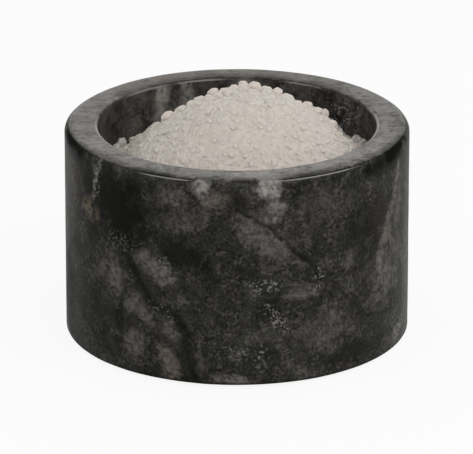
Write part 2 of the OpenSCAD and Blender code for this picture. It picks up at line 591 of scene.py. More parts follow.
RIM_PATCHES: dict[Tone, tuple[Patch, ...]] = {
    Tone.BLACK: (
        # Painted shade: those at about 38 darken the inner part of the rim towards the back, those at about
        # 43 darken its outer part at the front, and those at 67 and -76 are painted dark reflection on the
        # wedges.
        Patch(-172, 37.7, 13, 2.2, 0.95),
        Patch(164, 37.7, 12, 2.2, 0.95),
        Patch(146, 37.6, 11, 2.1, 0.9),
        Patch(-150, 37.5, 12, 1.9, 0.85),
        Patch(-10, 43.2, 3.5, 1.2, 0.7),
        Patch(2, 43.4, 3.0, 1.3, 0.7),
        Patch(28, 43.1, 9, 1.4, 0.95),
        Patch(-31, 43.3, 10, 1.3, 0.95),
        Patch(67, 43.5, 13, 1.7, 0.95),
        Patch(-128, 38.2, 6, 1.7, 0.9),
        Patch(-50, 42.8, 13, 1.1, 0.6),
        Patch(-110, 38, 4, 1.2, 0.5),
        Patch(-62, 43.6, 8, 1.2, 0.7),
        Patch(-76, 44.3, 13, 1.5, 1.0),
    ),
    Tone.CLAY: (
        Patch(-160, 40.5, 18, 4.5, 0.85),
        Patch(-134, 39.5, 9, 3, 0.75),
        Patch(-48, 41.2, 12, 1.6, 0.5),
        Patch(167, 40.5, 13, 4.5, 0.75),
        Patch(143, 40, 11, 3.6, 0.5),
    ),
    Tone.PALE: (
        Patch(-95, 40.4, 30, 4, 0.5),
        Patch(79, 41.4, 3.5, 0.8, 0.9, 15),
        Patch(124, 42, 9, 1.4, 0.5),
        Patch(-125, 42, 9, 1.4, 0.35),
    ),
    Tone.CHALK: (
        # Painted light: these make the inner part of the rim paler at the front.
        Patch(5, 39.6, 8, 2.6, 0.75),
        Patch(22, 38.4, 8, 1.8, 0.4),
        Patch(43, 38.6, 11, 2.4, 0.65),
        Patch(66, 39.6, 7, 1.6, 0.5),
        Patch(60, 41.4, 9, 0.8, 0.5),
        Patch(49, 40.6, 6, 1.4, 0.6),
        Patch(-40, 38.8, 11, 2.2, 0.4),
        Patch(-60, 39.4, 10, 3.0, 0.4),
    ),
    Tone.SPECK_AND_HIGHLIGHT: (
        # Where the painted highlight lines along the rounded edges show; the small patch at -87 is a painted
        # glint.
        Patch(-24, 44.4, 9, 3, 0.75),
        Patch(28, 44.4, 15, 3, 0.8),
        Patch(110, 44.4, 12, 3, 0.5),
        Patch(-120, 44.4, 14, 3, 0.5),
        Patch(88, 36.8, 20, 3, 0.95),
        Patch(-78, 36.8, 14, 3, 0.95),
        Patch(-62, 36.8, 11, 4, 1.0),
        Patch(-87, 44.5, 1.2, 1.2, 1.0),
        Patch(-165, 36.8, 9, 2, 0.6),
        Patch(-140, 36.8, 8, 2, 0.5),
        Patch(152, 36.8, 8, 2, 0.55),
    ),
}
# Painted dark reflection: where the outer face is made matte black and shows no reflection; the first two lie
# on the wedges under the rim.
DARK_REFLECTION_PATCHES = (
    Patch(-74, 55.2, 14, 1.9, 0.8),
    Patch(65, 54.8, 13, 2.0, 0.8),
    Patch(-79, 12, 9, 17, 0.32),
)
BORE_PATCHES: dict[Tone, tuple[Patch, ...]] = {
    Tone.CHALK: (
        Patch(-158, 50, 2.6, 7, 0.5),
        Patch(-146, 49, 3, 7, 0.6),
    ),
    Tone.SPECK_AND_HIGHLIGHT: (
        Patch(125, 50, 11, 5, 1.0),
        Patch(-30, 51, 9, 4, 0.8),
    ),
}


@dataclass(frozen=True)
class Unrolled:
    """A surface round the bowl, laid out flat twice: about its front and about its back.

    Attributes:
        front: millimetres to the right of the front, then up or out.
        back: millimetres on from the back, then up or out.
    """

    front: Expr
    back: Expr

    def near(self, azimuth: float) -> tuple[Expr, float]:
        """Chooses the layout that isn't cut near a place.

        Args:
            azimuth: where the place lies round the bowl, from -180 to 270.

        Returns:
            The layout, and the azimuth of its middle.
        """
        if abs(azimuth) <= 90:
            return self.front, 0.0
        return self.back, math.copysign(180, azimuth)


class StoneMap:
    """Where a point of the bowl lies: in the block, on the unrolled outer wall, and on its edges."""

    def __init__(self, graph: Graph, bowl: MarbleBowl) -> None:
        """Works out the places, and the noises that the clouds and veins share.

        Args:
            graph: the nodes of the material.
            bowl: the bowl, for its sizes.
        """
        sizes = bowl.sizes
        self.graph = graph
        self.bowl_r = sizes.bowl_r
        self.place = graph.object_mm()
        x, y, z = graph.split(self.place)
        radius = graph.vector("LENGTH", graph.joined(x, y), output=1)
        alongs = [x.turn_from(0.0 - y) * sizes.bowl_r, (0.0 - x).turn_from(y) * sizes.bowl_r]
        moved = graph.warped(self.place, size=8.0, reach=5.0, detail=4.0)
        shift = graph.vector("SUBTRACT", moved, self.place)
        flats = [graph.vector("ADD", graph.joined(along, z - sizes.underside_z), shift) for along in alongs]
        self.wall = Unrolled(*(graph.vector("MULTIPLY", flat, (1, 1, 0)) for flat in flats))
        self.rim = Unrolled(*(graph.joined(along, radius) for along in alongs))
        self.near_wall = radius.ease(sizes.bowl_r * 0.6, sizes.bowl_r * 0.8)
        self.ragged = (graph.noise(self.place, size=4.5, detail=6.0, rough=0.68) - 0.5) * 2.6
        moved = graph.warped(self.place, size=6.0, reach=3.0)
        self.mottle = graph.noise(moved, size=4.0, detail=6.0, rough=0.66)
        self.fine = graph.noise(self.place, size=1.4, detail=4.0, rough=0.6)
        under = z.ease(sizes.underside_z + 0.2, sizes.underside_z + 0.1)
        self.honed = z.ease(sizes.rim_z - 0.45, sizes.rim_z - 0.2).most(under)
        self.top = z.ease(sizes.rim_z - 1.4, sizes.rim_z - 0.7)
        # Each rounded edge is measured sideways and up from the middle of its curve.
        out = radius - (sizes.bowl_r - bowl.rim_outer_r)
        up = z - (sizes.rim_z - bowl.rim_outer_r)
        self.outside = out.ease(0.0, 0.3)
        # Where painted shade darkens the foot of the bowl.
        self.foot = z.ease(sizes.underside_z + 1.3, sizes.underside_z + 0.4) * self.outside
        self.outer_edge = self.outside * up.ease(0.0, 0.3)
        # A pale highlight line is painted where the outer edge catches the light, and a band of painted shade
        # lies next to it.
        self.outer_highlight_line = self.outer_edge * abs(out - up - 0.12).ease(0.34, 0.1)
        self.outer_shade_band = self.outer_edge * abs(out - up + 0.85).ease(0.8, 0.4)
        inward = bowl.bore_r + bowl.rim_inner_r - radius
        up = z - (sizes.rim_z - bowl.rim_inner_r)
        self.inner_edge = inward.ease(0.0, 0.2) * up.ease(0.0, 0.2)
        # The painted highlight line lies nearer to the top of the inner edge at the front than at the back,
        # and a band of painted shade lies next to it.
        self.inner_highlight_line = self.inner_edge * abs(inward - up - y * 0.021).ease(0.8, 0.4)
        self.inner_shade_band = self.inner_edge * abs(inward - up + 0.35).ease(0.45, 0.2)
        self.bore = inward.ease(bowl.rim_inner_r - 0.2, bowl.rim_inner_r - 0.05)

    def patch(self, patch: Patch, unrolled: Unrolled) -> Expr:
        """Gives how much of one patch shows.

        Args:
            patch: the patch.
            unrolled: the wall or the rim, laid out flat.

        Returns:
            Its strength at its middle, falling to 0 at its ragged edge.
        """
        graph, turn = self.graph, math.radians(patch.tilt)
        flat, start = unrolled.near(patch.azimuth)
        middle = Vector((math.radians(patch.azimuth - start) * self.bowl_r, patch.height, 0))
        sides = [Vector((math.cos(turn), math.sin(turn), 0)) / patch.half_w]
        sides.append(Vector((-math.sin(turn), math.cos(turn), 0)) / patch.half_h)
        local = graph.joined(*(graph.vector("DOT_PRODUCT", flat, tuple(side), output=1) for side in sides))
        away = graph.vector("DISTANCE", local, (*(side.dot(middle) for side in sides), 0.0), output=1)
        return (away + self.ragged).ease(1.3, 0.3) * patch.strength

    def vein(self, vein: Vein) -> Expr:
        """Gives how much of one vein shows.

        Args:
            vein: the vein.

        Returns:
            Its strength along its middle, falling to 0 at its ragged sides.
        """
        flat, start = self.wall.near(vein.points[len(vein.points) // 2][0])
        alongs = [math.radians(azimuth - start) * self.bowl_r for azimuth, _ in vein.points]
        places = [Vector((along, height, 0)) for along, (_, height) in zip(alongs, vein.points)]
        nearest = reduce(Expr.least, (self._gap(flat, *pair) for pair in zip(places, places[1:])))
        away = nearest + self.ragged * vein.half_w
        return away.ease(vein.half_w * 1.8, vein.half_w * 0.2) * vein.strength

    def _gap(self, flat: Expr, start: Vector, end: Vector) -> Expr:
        """Gives the distance from a straight stretch of a vein.

        Args:
            flat: a place on a layout.
            start: where the stretch starts.
            end: where it ends.

        Returns:
            The distance in millimetres.
        """
        stretch = end - start
        offset = self.graph.vector("SUBTRACT", flat, tuple(start))
        share = self.graph.vector("DOT_PRODUCT", offset, tuple(stretch / stretch.length_squared), output=1)
        share = share.most(0.0).least(1.0)
        foot = self.graph.joined(share * stretch.x, share * stretch.y)
        return self.graph.vector("LENGTH", self.graph.vector("SUBTRACT", offset, foot), output=1)

    def clouds(self, tone: Tone) -> Expr:
        """Returns the most that any patch of a tone shows here."""
        return self._all_of(PATCHES[tone], self.wall)

    def rim_clouds(self, tone: Tone) -> Expr:
        """Returns the most that any patch of a tone shows on the rim."""
        return self._all_of(RIM_PATCHES[tone], self.rim) * self.top

    def bore_clouds(self, tone: Tone) -> Expr:
        """Returns the most that any patch of a tone shows on the side of the bore."""
        return self._all_of(BORE_PATCHES[tone], self.wall) * self.bore

    def dull(self) -> Expr:
        """Returns where the outer face is painted matte black, as a painted dark reflection."""
        return self._all_of(DARK_REFLECTION_PATCHES, self.wall) * self.outside * (1 - self.honed)

    def veins(self, tone: Tone) -> Expr:
        """Returns the most that any vein of a tone shows here."""
        return self._most(self.vein(vein) for vein in VEINS[tone])

    def _all_of(self, patches: tuple[Patch, ...], unrolled: Unrolled) -> Expr:
        """Returns the most that any of some patches shows here."""
        return self._most(self.patch(patch, unrolled) for patch in patches)

    def _most(self, masks: Iterator[Expr]) -> Expr:
        """Returns the largest of some masks, near the outside of the block; each is added as it is made."""
        return reduce(Expr.most, masks) * self.near_wall


@dataclass(frozen=True)
class MarbleFinish:
    """Dark marble, rubbed to a satin.

    Attributes:
        tones: the stone's own shades, from its darkest to its palest.
        tint: what each shade's red, green and blue are multiplied by.
        levels: the levels of the stone's texture that give the darkest and the palest shade.
        cloud_size: the size of the broad clouds.
        grain_size: the size of the crystals of the stone.
        satin: the roughness of the rubbed stone.
        ior: how strongly the rubbed stone reflects.
        wall_polish: how much of the polish is left on the wall.
        rim_polish: how much of it is left on the flat rim.
        edge_polish: how much of it the rounded edges have.
        polish_rough: the roughness of the polish.
        bore_dust: how much salt dust clings to the bore.
        edge_shade: how dark the stone is beside the worn lines of its edges.
        foot_shade: how dark it is at its foot.
        relief: the depth of its fine relief.
    """

    tones: tuple[float, ...] = (0.006, 0.015, 0.026, 0.041, 0.08)
    tint: tuple[float, float, float] = (1.0, 0.965, 0.82)
    levels: tuple[float, float] = (0.37, 0.63)
    cloud_size: float = 16.0
    grain_size: float = 0.7
    satin: float = 0.42
    ior: float = 1.09
    wall_polish: float = 0.03
    rim_polish: float = 0.34
    edge_polish: float = 0.08
    polish_rough: float = 0.16
    bore_dust: float = 0.14
    # edge_shade: how dark the painted shade is beside the painted highlight lines of its edges.
    edge_shade: float = 0.42
    # foot_shade: how dark the painted shade is at its foot.
    foot_shade: float = 0.7
    relief: float = 0.1

    def material(self, bowl: MarbleBowl) -> bpy.types.Material:
        """Makes the material.

        Args:
            bowl: the bowl, for its sizes.

        Returns:
            The material.
        """
        made, graph = Graph.of_material("satin_marble")
        stone = StoneMap(graph, bowl)
        marks = self._rub_marks(graph, stone.place)
        specks = self._specks(stone)
        colour = self._honed(stone, self._veined(stone, self._stone(stone)), marks)
        dust = stone.bore * stone.mottle.ease(0.3, 0.65) * self.bore_dust
        colour = graph.mix(dust, colour, Tone.SPECK_AND_HIGHLIGHT.value)
        # Pale streaks down the bore at the back left.
        pale_streaks = stone.bore_clouds(Tone.CHALK) * stone.fine.ease(0.2, 0.6)
        colour = graph.mix(pale_streaks, colour, Tone.CHALK.value)
        colour = graph.mix(specks, colour, Tone.SPECK_AND_HIGHLIGHT.value)
        # A band of painted shade, broken up by noise, beside the painted highlight lines of the edges.
        shade_breaks = graph.noise(stone.place, size=4.0, detail=4.0, rough=0.6).ease(0.44, 0.62)
        beside = stone.outer_shade_band.most(stone.inner_shade_band) * shade_breaks * self.edge_shade
        colour = graph.mix(beside, colour, Tone.BLACK.value)
        # Painted highlight: pale lines along the rounded edges, where the rim patches of this tone allow.
        worn = stone.outer_highlight_line.most(stone.inner_highlight_line) * stone.rim_clouds(Tone.SPECK_AND_HIGHLIGHT)
        colour = graph.mix(worn, colour, Tone.SPECK_AND_HIGHLIGHT.value)
        # Painted shade along the foot, where the bowl stands on the floor.
        colour = graph.mix(stone.foot * self.foot_shade, colour, Tone.BLACK.value)
        edges = stone.outer_edge.most(stone.inner_edge)
        polish = self.wall_polish + stone.honed * (self.rim_polish - self.wall_polish)
        polish = polish.most(edges * self.edge_polish)
        relief = stone.fine * 0.15 + stone.honed * marks * 0.15
        bump = graph.bump(relief, self.relief, strength=0.35)
        shader = graph.principled({
            "Base Color": colour,
            "Roughness": self.satin + (stone.mottle - 0.5) * 0.2,
            "IOR": self.ior,
            "Specular Tint": (1.0, 0.97, 0.84, 1.0),
            "Coat Weight": polish,
            "Coat Roughness": self.polish_rough,
            "Normal": bump,
        })
        # Painted dark reflection: on those patches the stone is matte black and reflects nothing.
        rough = {"Base Color": Tone.BLACK.value, "Roughness": 1.0, "Specular IOR Level": 0.0}
        dark_reflection_shader = graph.principled(rough)
        graph.surface(graph.blended(stone.dull(), shader, dark_reflection_shader))
        return made

    def _stone(self, stone: StoneMap) -> Expr:
        """Makes the stone itself: clouds, mottling, pale wisps and dark cracks.

        Args:
            stone: the places and noises.

        Returns:
            The colour.
        """
        graph, place = stone.graph, stone.place
        moved = graph.warped(place, size=30.0, reach=16.0)
        cloud = graph.noise(moved, self.cloud_size, detail=4.0, rough=0.6)
        grain = graph.noise(place, self.grain_size, detail=3.0, rough=0.55)
        level = cloud * 0.33 + stone.mottle * 0.28 + grain * 0.39
        low, high = self.levels
        step = (high - low) / (len(self.tones) - 1)
        stops = [(low + step * i, grey(tone, *self.tint)) for i, tone in enumerate(self.tones)]
        colour = graph.node("ShaderNodeValToRGB", {"stops": stops}, {0: level})
        moved = graph.warped(place, size=14.0, reach=10.0)
        wisps = graph.ridge(moved, size=11.0, detail=5.0, rough=0.6).ease(0.05, 0.0)
        colour = graph.mix(wisps * stone.fine.ease(0.42, 0.62) * 0.22, colour, Tone.PALE.value)
        moved = graph.warped(place, size=10.0, reach=8.0)
        cracks = graph.ridge(moved, size=15.0, detail=4.0, rough=0.55).ease(0.014, 0.002)
        return graph.mix(cracks * stone.mottle.ease(0.4, 0.55) * 0.7, colour, Tone.BLACK.value)

    @staticmethod
    def _veined(stone: StoneMap, colour: Expr) -> Expr:
        """Lays the placed clouds and veins over a colour; some of the placed clouds are painted reflections
        and a painted highlight.

        Args:
            stone: the places and noises.
            colour: the colour of the stone itself.

        Returns:
            The colour with clouds and veins.
        """
        graph = stone.graph
        wall_only = 1 - stone.honed
        speckled = stone.fine.ease(0.34, 0.62).above(0.3)
        broken = wall_only * stone.mottle.ease(0.3, 0.54) * stone.fine.ease(0.3, 0.55).above(0.45)
        layers = (
            (Tone.BLACK, stone.clouds, wall_only),
            (Tone.UMBER, stone.clouds, wall_only),
            (Tone.OLIVE, stone.clouds, wall_only * speckled),
            (Tone.RUST, stone.clouds, stone.fine.ease(0.36, 0.6)),
            (Tone.PALE, stone.clouds, speckled),
            (Tone.PINK, stone.clouds, speckled),
            (Tone.CHALK, stone.clouds, speckled),
            (Tone.PALE, stone.veins, speckled),
            (Tone.BLACK, stone.veins, broken),
        )
        for tone, lie_of, texture in layers:
            colour = graph.mix(lie_of(tone) * texture, colour, tone.value)
        return colour

    @staticmethod
    def _honed(stone: StoneMap, colour: Expr, marks: Expr) -> Expr:
        """Makes a colour paler on the flat rim and the underside, where the stone was only honed.

        Args:
            stone: the places and noises.
            colour: the colour of the polished stone.
            marks: the marks of the rubbing stone.

        Returns:
            The colour, with the rim's clouds and its painted light and shade.
        """
        graph = stone.graph
        mottled = stone.mottle.ease(0.41, 0.59) * 0.62
        paler = mottled + stone.fine.ease(0.38, 0.62) * 0.56 + marks * 0.44 - 0.13
        colour = graph.mix(stone.honed * paler, colour, Tone.PALE.value)
        speckled = stone.fine.ease(0.34, 0.62).above(0.5)
        for tone in (Tone.CLAY, Tone.PALE, Tone.CHALK, Tone.BLACK):
            colour = graph.mix(stone.rim_clouds(tone) * speckled, colour, tone.value)
        return colour

    @staticmethod
    def _specks(stone: StoneMap) -> Expr:
        """Makes the small white pits and cracks, in the fields where they show.

        Args:
            stone: the places and noises.

        Returns:
            How much of their white shows.
        """
        graph = stone.graph
        cracks = graph.ridge(stone.place, size=1.4, detail=3.0, rough=0.6, bend=1.2).ease(0.06, 0.01)
        dots = graph.noise(stone.place, size=0.7, detail=1.0, rough=0.5).ease(0.45, 0.65)
        return stone.clouds(Tone.SPECK_AND_HIGHLIGHT).most(stone.bore_clouds(Tone.SPECK_AND_HIGHLIGHT)) * cracks * dots

    @staticmethod
    def _rub_marks(graph: Graph, place: Expr) -> Expr:
        """Makes the fine straight marks of the rubbing stone, which cross the rim one way.

        Args:
            graph: the nodes of the material.
            place: where they are read, in millimetres.

        Returns:
            How much of a mark shows.
        """
        inputs = {0: place, "Rotation": (0.0, 0.0, math.radians(-8)), "Scale": (0.06, 1.0, 1.0)}
        drawn_out = graph.node("ShaderNodeMapping", {}, inputs)
        return graph.noise(drawn_out, size=0.6, detail=3.0, rough=0.6).ease(0.38, 0.68)


@dataclass(frozen=True)
class SaltFinish:
    """Coarse salt: warm white, a little translucent, each crystal with a tone of its own.

    Attributes:
        name: the material's name.
        pale: the colour of a clean crystal.
        dull: the colour of a greyer one.
        translucent: how much light goes through beneath the surface.
        depth: how far light goes through, in millimetres.
        rough: the roughness of a crystal's faces.
        clear: how much of a crystal is clear.
        ior: how strongly a crystal reflects and bends light.
        relief: the depth of the frost on its faces, in millimetres.
    """

    name: str
    pale: Colour = (0.77, 0.7, 0.628, 1.0)
    dull: Colour = (0.67, 0.6, 0.533, 1.0)
    translucent: float = 1.0
    depth: float = 3.0
    rough: float = 0.4
    clear: float = 0.0
    ior: float = 1.4
    relief: float = 0.06

    def material(self) -> bpy.types.Material:
        """Makes the material.

        Returns:
            The material.
        """
        made, graph = Graph.of_material(self.name)
        place = graph.object_mm()
        island = graph.node("ShaderNodeNewGeometry", {}, {}, "Random Per Island")
        cloud = graph.noise(place, size=1.3, detail=3.0, rough=0.65).ease(0.3, 0.7)
        colour = graph.mix(island * 0.35 + cloud * 0.65, self.dull, self.pale)
        frost = graph.noise(place, size=0.35, detail=2.0, rough=0.5)
        rough = self.rough + (frost - 0.5) * 0.3
        inputs = {
            "Base Color": colour,
            "Roughness": rough,
            "IOR": self.ior,
            "Subsurface Weight": self.translucent,
            "Subsurface Radius": (1.0, 0.85, 0.75),
            "Subsurface Scale": self.depth * MM,
            "Transmission Weight": self.clear,
            "Normal": graph.bump(frost, self.relief, strength=0.3),
        }
        graph.surface(graph.principled(inputs, {"subsurface_method": "RANDOM_WALK"}))
        return made


@dataclass(frozen=True)
class PadFinish:
    """Clear silicone, cloudy with age and dust."""

    clean: Colour = (0.62, 0.6, 0.54, 1.0)
    dusty: Colour = (0.42, 0.4, 0.36, 1.0)
    rough: float = 0.4
    translucent: float = 0.3
    depth: float = 1.0

    def material(self) -> bpy.types.Material:
        """Makes the material.

        Returns:
            The material.
        """
        made, graph = Graph.of_material("clear_silicone")
        dust = graph.noise(graph.object_mm(), size=3.0, detail=4.0, rough=0.65)
        graph.surface(graph.principled({
            "Base Color": graph.mix(dust.ease(0.35, 0.7), self.clean, self.dusty),
            "Roughness": self.rough + dust * 0.3,
            "Subsurface Weight": self.translucent,
            "Subsurface Scale": self.depth * MM,
        }))
        return made


def rolling(place: Vector, size: float) -> float:
    """Returns smooth noise at a place, of about -1 to 1, whose forms are of a size."""
    increment, lacunarity, octaves = 1.0, 2.0, 3
    return noise.fractal(place / size, increment, lacunarity, octaves)


@dataclass
class MarbleBowl:
    """The bowl, turned from one block of stone and polished by hand.

    Attributes:
        sizes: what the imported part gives.
        wall_t: the thickness of the wall.
        rim_outer_r: the radius of the rim's outer edge.
        rim_inner_r: the radius of its inner edge.
        base_edge_r: the radius of the edge round the underside.
        bore_corner_r: the radius between the bore and its floor.
        turns: the number of steps round the bowl.
        wall_cuts, bore_cuts, rim_cuts: the number of cuts across the long straight faces.
        long_edge: the length past which an edge is cut.
        crown: how far the rim falls at 1 mm from its middle.
        waver: how far the polished faces waver.
        waver_size: the size of their swells.
        waver_low: the level of the swells below which the faces sink.
        finish: the stone.
    """

    sizes: FrameSizes
    wall_t: float = 8.7
    rim_outer_r: float = 2.1
    rim_inner_r: float = 0.9
    base_edge_r: float = 1.0
    bore_corner_r: float = 8.0
    turns: int = 288
    wall_cuts: int = 30
    bore_cuts: int = 16
    rim_cuts: int = 7
    long_edge: float = 3.0
    crown: float = 0.004
    waver: float = 0.05
    waver_size: float = 11.0
    waver_low: float = 0.6
    finish: MarbleFinish = field(default_factory=MarbleFinish)

    @property
    def bore_r(self) -> float:
        """Radius of the bore."""
        return self.sizes.bowl_r - self.wall_t

    def build(self) -> bpy.types.Object:
        """Turns the block, rounds its edges and lets the polished faces waver a little.

        Returns:
            The bowl.
        """
        s = self.sizes
        outline = [(0, s.underside_z), (s.bowl_r, s.underside_z), (s.bowl_r, s.rim_z)]
        outline += [(self.bore_r, s.rim_z), (self.bore_r, s.floor_z), (0, s.floor_z)]
        mesh = turned(outline, self.turns)
        bmesh.ops.recalc_face_normals(mesh, faces=mesh.faces)
        self._round(mesh, s.bowl_r, s.rim_z, self.rim_outer_r, segments=12)
        self._round(mesh, self.bore_r, s.rim_z, self.rim_inner_r, segments=8)
        self._round(mesh, s.bowl_r, s.underside_z, self.base_edge_r, segments=8)
        self._round(mesh, self.bore_r, s.floor_z, self.bore_corner_r, segments=10)
        self._divide(mesh)
        self._crown(mesh)
        self._waver(mesh)
        return hand_over("turned_bowl", mesh, self.finish.material(self), ("marble_bowl",))

    @staticmethod
    def _round(mesh: bmesh.types.BMesh, radius: float, z: float, edge_r: float, segments: int) -> None:
        """Rounds an edge that runs round the bowl.

        Args:
            mesh: the bowl.
            radius: the radius at which the edge runs.
            z: the height at which it runs.
            edge_r: the radius that it gets.
            segments: the number of steps across it.
        """

        def on_edge(vert: bmesh.types.BMVert) -> bool:
            """Tells whether a corner lies on that edge."""
            return abs(vert.co.xy.length - radius) < NEAR and abs(vert.co.z - z) < NEAR

        ring = [edge for edge in mesh.edges if all(on_edge(vert) for vert in edge.verts)]
        round_off(mesh, ring, edge_r, segments)

    def _divide(self, mesh: bmesh.types.BMesh) -> None:
        """Divides the long straight faces, so that their shading stays flat and they can waver."""
        faces = (
            (self.wall_cuts, lambda vert: vert.co.xy.length - self.sizes.bowl_r),
            (self.bore_cuts, lambda vert: vert.co.xy.length - self.bore_r),
            (self.rim_cuts, lambda vert: vert.co.z - self.sizes.rim_z),
        )
        for cuts, off_face in faces:
            across = [
                edge for edge in mesh.edges
                if edge.calc_length() > self.long_edge and all(abs(off_face(v)) < NEAR for v in edge.verts)
            ]
            bmesh.ops.subdivide_edges(mesh, edges=across, cuts=cuts, use_grid_fill=True)

    def _crown(self, mesh: bmesh.types.BMesh) -> None:
        """Lets the rim fall a little from its middle to both of its edges."""
        middle = (self.bore_r + self.rim_inner_r + self.sizes.bowl_r - self.rim_outer_r) / 2
        for vert in mesh.verts:
            level = max(0.0, 1 - (self.sizes.rim_z - vert.co.z) / self.rim_outer_r)
            vert.co.z -= self.crown * (vert.co.xy.length - middle) ** 2 * level

    def _waver(self, mesh: bmesh.types.BMesh) -> None:
        """Lets the faces sink by a few hundredths of a millimetre here and there, as hand polishing does."""
        mesh.normal_update()
        for vert in mesh.verts:
            if vert.co.z < self.sizes.underside_z + NEAR:
                continue
            swell = rolling(vert.co, self.waver_size)
            vert.co += vert.normal * min(0.0, self.waver * (swell - self.waver_low))


@dataclass
class FootPads:
    """Four clear pads with a domed edge, stuck under the bowl."""

    sizes: FrameSizes
    count: int = 4
    pad_r: float = 4.5
    edge_r: float = 0.35
    inset: float = 5.0
    finish: PadFinish = field(default_factory=PadFinish)

    def build(self) -> bpy.types.Object:
        """Makes the pads as one piece.

        Returns:
            The pads.
        """
        mesh = bmesh.new()
        ring_r = self.sizes.bowl_r - self.inset - self.pad_r
        for index in range(self.count):
            turn = (index + 0.5) * math.tau / self.count
            place = Vector((ring_r * math.cos(turn), ring_r * math.sin(turn), self.sizes.underside_z / 2))
            bmesh.ops.create_cone(mesh, cap_ends=True, segments=64, radius1=self.pad_r, radius2=self.pad_r,
                                  depth=self.sizes.underside_z, matrix=Matrix.Translation(place))
        rims = [edge for edge in mesh.edges if all(vert.co.z < NEAR for vert in edge.verts)]
        round_off(mesh, rims, self.edge_r, segments=5)
        return hand_over("clear_pads", mesh, self.finish.material(), ("foot_pads",))


@dataclass(frozen=True)
class Swell:
    """A place where the heap stands above or below a plain cone.

    Attributes:
        x: its middle, to the right.
        y: its middle, to the back.
        radius: how far it reaches.
        rise: how far it stands above the cone at its middle.
    """

    x: float
    y: float
    radius: float
    rise: float

    def at(self, x: float, y: float) -> float:
        """Returns its rise at a place."""
        away = math.hypot(x - self.x, y - self.y) / self.radius
        return self.rise * math.exp(-away * away)


